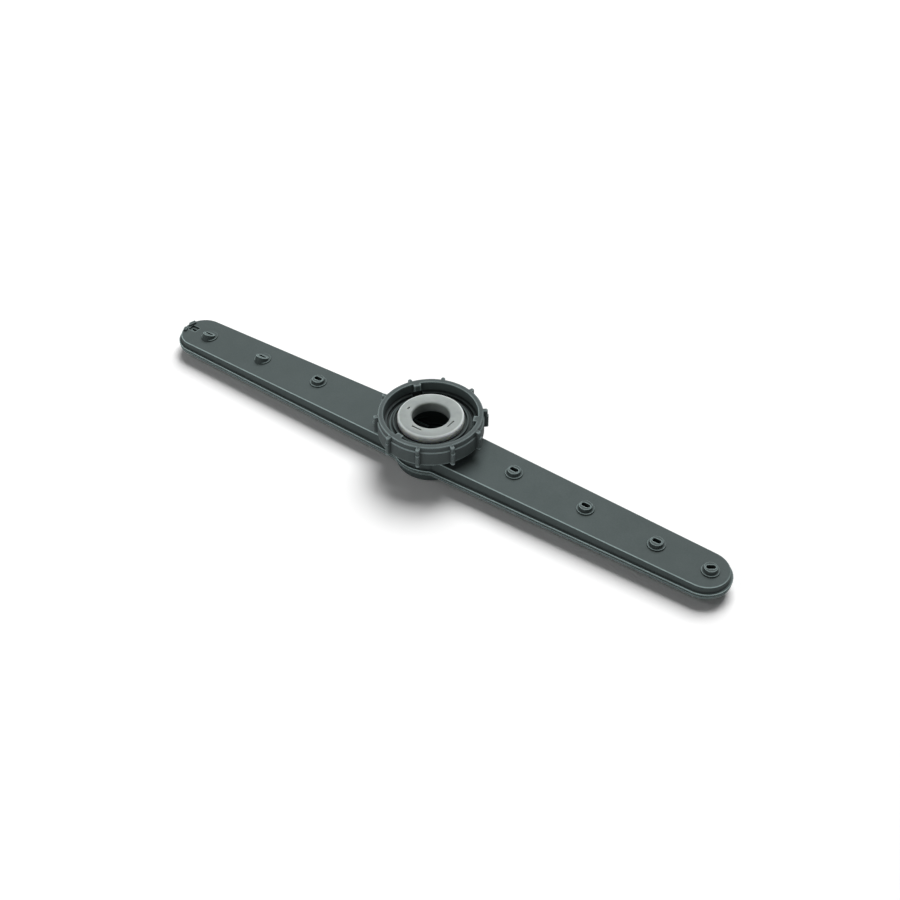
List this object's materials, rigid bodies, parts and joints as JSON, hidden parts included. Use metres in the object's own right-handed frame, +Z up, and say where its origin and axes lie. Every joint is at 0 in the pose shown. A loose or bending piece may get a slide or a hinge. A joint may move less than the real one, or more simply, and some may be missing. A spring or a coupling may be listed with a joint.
{
  "type": "dishwasher spray arm",
  "caption": "Long flat spray arm of two welded plastic shells with a row of jets on each side, a turning ribbed bayonet ring on its hub and a pale bearing bush in its neck.",
  "frame": {"origin": "on the hub axis, at the level of the flat underside", "axes": "+X along the arm towards the longer row of jets, +Z up along the hub axis out of the throat"},
  "size_m": [0.4, 0.0672, 0.0359],
  "materials": {
    "arm_plastic": "fine moulded grain, satin, dark grey",
    "ring_plastic": "smooth moulded, satin, dark grey",
    "bush_plastic": "waxy translucent white"
  },
  "bodies": {
    "arm": {"arm_upper_shell": "arm_plastic", "arm_lower_shell": "arm_plastic"},
    "ring": {"locking_ring": "ring_plastic"},
    "bush": {"bearing_bush": "bush_plastic"}
  },
  "joints": [
    {"name": "ring_turn", "type": "hinge", "parent": "arm", "child": "ring", "pos_m": [0, 0, 0.0251], "axis": [0, 0, 1], "continuous": true},
    {"name": "bush_turn", "type": "hinge", "parent": "arm", "child": "bush", "pos_m": [0, 0, 0.029], "axis": [0, 0, 1], "continuous": true}
  ]
}
